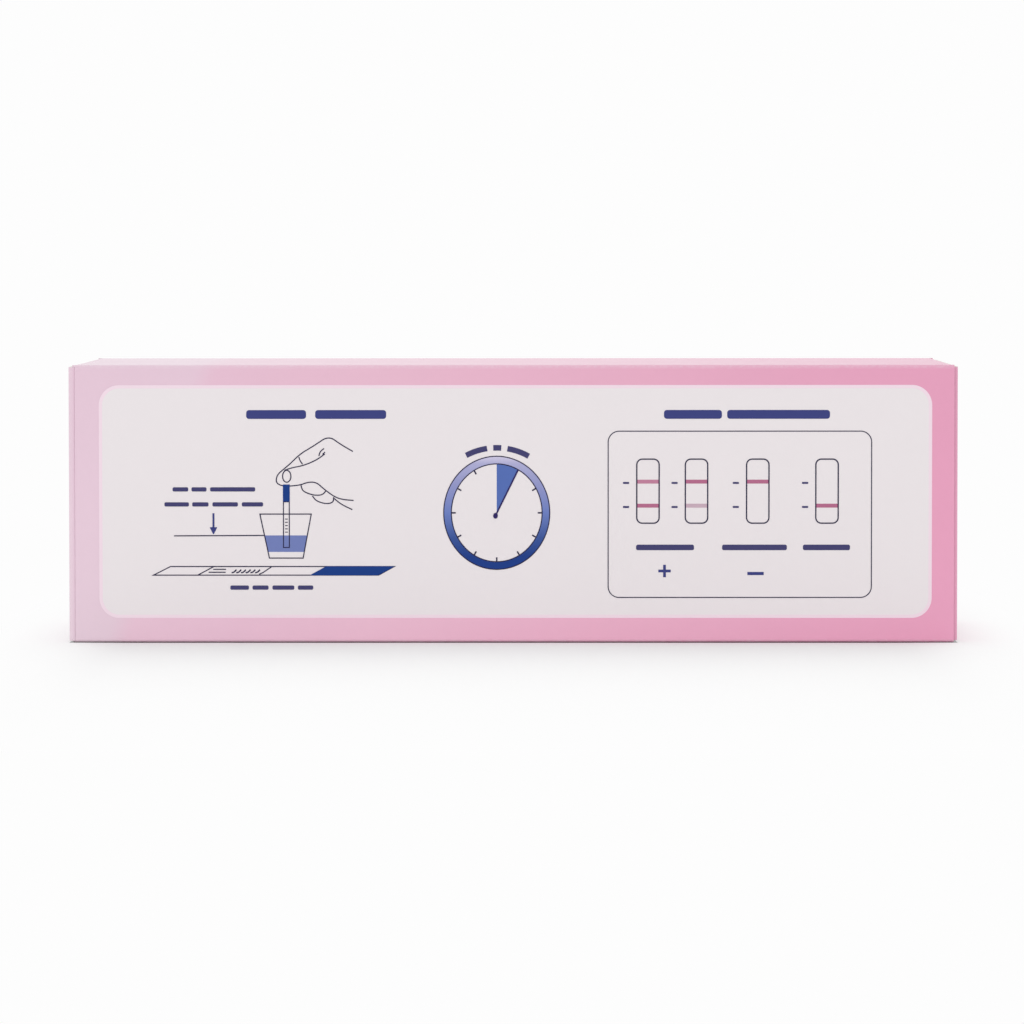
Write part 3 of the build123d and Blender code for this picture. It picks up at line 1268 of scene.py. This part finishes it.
@dataclass
class FoilPouches:
    """The stacked pouches: film with a soft pillow, a flat seal all round and tear notches."""

    half: Spot
    thickness: float = 0.2
    seal: Spot = (6.0, 4.0)
    rise: float = 6.0
    ramp: float = 20.0
    heights: Spot = (0.53, 1.36)
    dome: Line = ((0.0, 0.05), (0.9, 0.73), (3.2, 1.36))
    bends: Sequence[int] = range(-40, 41, 10)
    notch_from_end: float = 9.0
    notch_half: float = 0.8
    notch_depth: float = 1.2
    pillow_inset: Spot = (2.0, 0.5)
    seal_inset: float = 1.0
    crinkle: float = 0.26
    ripple: float = 0.45
    grain: float = 5.5
    in_stack: int = 10
    smooth_to: float = 35.0
    near: float = 0.02

    @property
    def inner(self) -> Spot:
        """Half the length and half the width inside the seal."""
        return self.half[0] - self.seal[0], self.half[1] - self.seal[1]

    @property
    def notch(self) -> float:
        """Place of the tear notches along the pouch."""
        return self.notch_from_end - self.half[0]

    def height(self, x: float, y: float) -> float:
        """How high the pillow stands at a spot.

        Args:
            x: Place along the pouch. The sachet lies at the far end of +X.
            y: Place across the pouch.

        Returns:
            The height over the middle plane, in millimetres.
        """
        low, high = self.heights
        end, side = self.inner
        sachet = math.sin(math.pi / 2 * max(-1.0, min(1.0, x / self.ramp)))
        along = (high + low) / 2 + sachet * (high - low) / 2
        along *= max(0.0, min(1.0, (end - abs(x)) / self.rise))
        inward = side - abs(y)
        across = 0.0
        for (near, level), (far, top) in zip(self.dome, self.dome[1:]):
            if inward >= near:
                across = level + (top - level) * min(1.0, (inward - near) / (far - near))
        return max(self.thickness / 2, min(along, across))

    def bend_lines(self) -> tuple[list[float], list[float]]:
        """Places along and across the pouch where its film bends.

        Returns:
            The places along X and those along Y, in millimetres.
        """
        end, side = self.inner
        notch = [self.notch - self.notch_half, self.notch, self.notch + self.notch_half]
        along = [-end, self.rise - end, *notch, *self.bends, end - self.rise, end]
        across = [0.0, *(sign * (side - inward) for inward, _ in self.dome for sign in (-1, 1))]
        return sorted(along), sorted(across)

    def choose_corner(self, piece: Piece, x: float, y: float) -> None:
        """Select the corners of both films at a spot of the open pouch."""
        near, spot = self.near * MM, (x * MM, y * MM)
        choose(piece, "VERT", lambda co, _: abs(co.x - spot[0]) < near and abs(co.y - spot[1]) < near)

    def blank(self) -> Piece:
        """Shape one smooth pouch, flat on the plane z = 0.

        Returns:
            The pouch, with its pillow and its seal each in a vertex group.
        """
        start_fresh()
        bpy.ops.mesh.primitive_cube_add(size=MM)
        piece = bpy.context.object
        open_mesh(piece, action="SELECT")
        size = (2 * self.half[0], 2 * self.half[1], self.thickness)
        bpy.ops.transform.resize(value=size, center_override=(0, 0, 0))
        along, across = self.bend_lines()
        cuts = [((x * MM, 0, 0), (1, 0, 0)) for x in along] + [((0, y * MM, 0), (0, 1, 0)) for y in across]
        for spot, normal in cuts:
            bpy.ops.mesh.select_all(action="SELECT")
            bpy.ops.mesh.bisect(plane_co=spot, plane_no=normal)
        for x, y in ((x, y) for x in along for y in across):
            height = self.height(x, y)
            if height > self.thickness / 2:
                self.choose_corner(piece, x, y)
                lift = height / (self.thickness / 2)
                bpy.ops.transform.resize(value=(1, 1, lift), center_override=(0, 0, 0))
        for sign in (-1, 1):
            self.choose_corner(piece, self.notch, sign * self.half[1])
            bpy.ops.transform.translate(value=(0, -sign * self.notch_depth * MM, 0))
        close_mesh()
        apply_modifier(piece, "SUBSURF", subdivision_type="SIMPLE", levels=2)
        apply_modifier(piece, "SMOOTH", factor=0.5, iterations=2, use_x=False, use_y=False)
        pillow = [(reach - inset) * MM for reach, inset in zip(self.inner, self.pillow_inset)]
        rim = [(reach + self.seal_inset) * MM for reach in self.inner]
        self.group(piece, "pillow", lambda co, _: abs(co.x) < pillow[0] and abs(co.y) < pillow[1])
        self.group(piece, "seal", lambda co, _: abs(co.x) > rim[0] or abs(co.y) > rim[1])
        return piece

    def group(self, piece: Piece, name: str, test: Callable[[Vector, Vector], bool]) -> None:
        """Put the corners that pass a test into a vertex group.

        Args:
            piece: The pouch.
            name: Name of the group.
            test: Says of a place, in metres, and a normal whether it belongs to the group.
        """
        pick(piece)
        bpy.ops.object.vertex_group_add()
        piece.vertex_groups.active.name = name
        open_mesh(piece)
        choose(piece, "VERT", test)
        bpy.ops.object.vertex_group_assign()
        close_mesh()

    def crumple(self, piece: Piece) -> None:
        """Crinkle the film inwards and let the seal ripple.

        Args:
            piece: The pouch, where it lies in the stack.
        """
        clouds = bpy.data.textures.new("film_crinkles", "CLOUDS")
        clouds.noise_scale = self.grain * MM
        clouds.noise_depth = 1
        shared = {"texture": clouds, "texture_coords": "GLOBAL"}
        pillow = {"strength": self.crinkle * MM, "mid_level": 1.0}
        seal = {"strength": self.ripple * MM, "direction": "Z"}
        for group, settings in (("pillow", pillow), ("seal", seal)):
            apply_modifier(piece, "DISPLACE", vertex_group=group, **settings, **shared)

    def build(self, nodes: dict[str, Piece]) -> None:
        """Make every pouch where its plain node lies.

        Args:
            nodes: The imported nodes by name.
        """
        film = FoilFinish().material()
        blank = self.blank()
        names = [name for name in sorted(nodes) if name.startswith("pouch_")]
        for number, name in enumerate(names):
            pick(blank)
            bpy.ops.object.duplicate()
            pouch = bpy.context.object
            stack, layer = divmod(number, self.in_stack)
            low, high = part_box(name)
            pouch.location = (low + high) / 2
            pouch.rotation_euler.z = math.pi * ((stack + layer) % 2)
            pouch.name = pouch.data.name = f"foil_{name}"
            apply_place(pouch)
            self.crumple(pouch)
            bpy.ops.object.shade_smooth_by_angle(angle=math.radians(self.smooth_to))
            settle(pouch, film, Body.CARTON)
            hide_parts(name)
        pick(blank)
        bpy.ops.object.delete()
        log.info("foil: %d pouches made", len(names))


@dataclass
class Leaflet:
    """The folded leaflet."""

    node: str = "instruction_leaflet"

    def dress(self, nodes: dict[str, Piece]) -> None:
        """Dress the leaflet's node, found by its name."""
        dress(nodes[self.node], PaperFinish().material())
        log.info("paper: %s dressed", self.node)


# Floor, light and camera


@dataclass
class Room:
    """A pale floor that runs out into white, and even light."""

    floor_half: float = 3000.0
    floor_drop: float = 0.01
    floor_white: float = 0.99
    shadow_white: float = 0.92
    bounce_white: float = 0.99
    seen_white: float = 0.983
    cloth: float = 0.004
    contact_shadow_colour: Colour = (70, 38, 48)
    level: float = 0.82
    footprint: Spot = (HALF_LENGTH, HALF_DEPTH)
    hole_inset: float = 1.2
    fade_start: Spot = (58.0, 25.5)
    fade_reach: Spot = (23.0, 185.0)
    shadow_reach: Spot = (12.0, 120.0)

    def build(self) -> None:
        """Make the floor and the world."""
        start_fresh()
        size = 2 * self.floor_half * MM
        bpy.ops.mesh.primitive_plane_add(size=size, location=(0, 0, -self.floor_drop * MM))
        floor = bpy.context.object
        apply_place(floor)
        floor.name = floor.data.name = "studio_floor"
        dress(floor, self.floor_material())
        self.build_world()
        log.info("room: floor and world ready")

    def floor_material(self) -> Material:
        """White floor that keeps the rendered shadows near the carton, with a painted shadow around it and
        a painted contact shadow along its foot, and is plain white further out.

        It is open under the bottom panel, so that the panel has light when it is seen from below.

        Returns:
            The material.
        """
        material = bpy.data.materials.new("studio_floor")
        material.use_nodes = True
        tree = material.node_tree
        tree.nodes.remove(tree.nodes["Principled BSDF"])
        sketch = Sketch(tree)
        place = sketch.millimetres(sketch.add("ShaderNodeTexCoord").outputs["Object"])
        x, y, _ = sketch.parts(place)
        under, shadow, hole, squares = 1.0, 1.0, 1.0, 0.0
        for value, half, start, reach, fall in zip(
            (x, y), self.footprint, self.fade_start, self.fade_reach, self.shadow_reach
        ):
            out_by = abs(value)
            under = (out_by < half) * under
            hole = (out_by < half - self.hole_inset) * hole
            shadow = sketch.step(out_by, start + fall, start) * shadow
            share = (out_by - start).larger(0.0) * (1 / reach)
            squares = share * share + squares
        far = sketch.step(squares.work("SQRT"), 0.0, 1.0)
        camera, seen = sketch.rays()
        tone = sketch.noise(place, scale=0.02) * self.cloth + (self.floor_white - self.cloth / 2)
        # Painted shadow: for camera rays the floor's tone is darkened in front of, behind and under the
        # carton.
        tone = shadow * (self.shadow_white - self.floor_white) + tone
        colour = sketch.mix(camera, (*[self.bounce_white] * 3, 1.0), sketch.grey(tone))
        # Painted contact shadow: the floor under the carton's footprint is made dark, which shows as a dark
        # line along its foot.
        colour = sketch.mix(under, colour, linear(self.contact_shadow_colour))
        matt = sketch.add("ShaderNodeBsdfDiffuse", {"Color": colour})
        glow = sketch.add("ShaderNodeEmission", {"Strength": self.seen_white})
        sheet = sketch.mix_shaders(far * seen, matt, glow)
        below = Value(sketch, sketch.add("ShaderNodeNewGeometry").outputs["Backfacing"])
        clear = sketch.add("ShaderNodeBsdfTransparent")
        whole = sketch.mix_shaders(below.larger(hole), sheet, clear)
        sketch.fill(tree.nodes["Material Output"], {"Surface": whole.outputs[0]})
        return material

    def build_world(self) -> None:
        """Make the world: white to the eye and in gloss, a level light for the rest."""
        world = bpy.data.worlds.new("studio")
        bpy.context.scene.world = world
        world.use_nodes = True
        sketch = Sketch(world.node_tree)
        _, seen = sketch.rays()
        strength = seen * (self.seen_white - self.level) + self.level
        sketch.fill(world.node_tree.nodes["Background"], {"Color": (1, 1, 1, 1), "Strength": strength})


@dataclass(frozen=True)
class SoftBox:
    """One large soft lamp that faces the carton."""

    name: str
    place: tuple[float, float, float]
    size: float
    power: float

    def build(self) -> None:
        """Hang the lamp."""
        start_fresh()
        place = Vector(self.place) * MM
        bpy.ops.object.light_add(type="AREA", location=place)
        lamp = bpy.context.object
        lamp.name = self.name
        lamp.rotation_euler = (-place).to_track_quat("-Z", "Y").to_euler()
        lamp.data.shape = "SQUARE"
        lamp.data.size = self.size * MM
        lamp.data.energy = self.power
        lamp.visible_glossy = False


@dataclass(frozen=True)
class CameraStand:
    """The camera at the photograph's angle."""

    place: tuple[float, float, float] = (6.443, -882.74, 61.19)
    sensor: float = 36.0
    lens: float = 197.31
    dip: float = 0.04798
    turn: float = -0.00772
    roll: float = -0.00057
    clip: Spot = (10.0, 50000.0)

    def build(self) -> None:
        """Set the camera up and make it the scene's camera."""
        start_fresh()
        bpy.ops.object.camera_add(location=Vector(self.place) * MM)
        camera = bpy.context.object
        flat = math.cos(self.dip)
        ahead = Vector((math.sin(self.turn) * flat, math.cos(self.turn) * flat, -math.sin(self.dip)))
        right = Vector((math.cos(self.turn), -math.sin(self.turn), 0.0))
        up = right.cross(ahead)
        rolled_right = right * math.cos(self.roll) + up * math.sin(self.roll)
        rolled_up = up * math.cos(self.roll) - right * math.sin(self.roll)
        camera.rotation_euler = Matrix((rolled_right, rolled_up, -ahead)).transposed().to_euler()
        camera.data.sensor_width = self.sensor
        camera.data.lens = self.lens
        camera.data.clip_start = self.clip[0] * MM
        camera.data.clip_end = self.clip[1] * MM
        bpy.context.scene.camera = camera


def main() -> None:
    """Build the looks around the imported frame."""
    logging.basicConfig(level=logging.INFO, format="%(name)s: %(message)s")
    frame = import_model()
    nodes = frame["nodes"]
    bpy.context.scene.view_settings.view_transform = "Standard"
    CameraStand().build()
    Room().build()
    SoftBox("top_softbox", (-100, 700, 1300), size=1300, power=4.2).build()
    SoftBox("front_softbox", (-500, -1500, 250), size=1200, power=5.0).build()
    Board().dress(nodes)
    low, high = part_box("pouch_01")
    FoilPouches(((high.x - low.x) / 2 / MM, (high.y - low.y) / 2 / MM)).build(nodes)
    Leaflet().dress(nodes)
    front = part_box("carton_body")[0].y / MM
    for drawing in (WhiteField, WordBars, DipDrawing, FlatStripDrawing, DialDrawing, ResultsPanel):
        drawing(front).build()
    start_fresh()


if __name__ == "__main__":
    main()
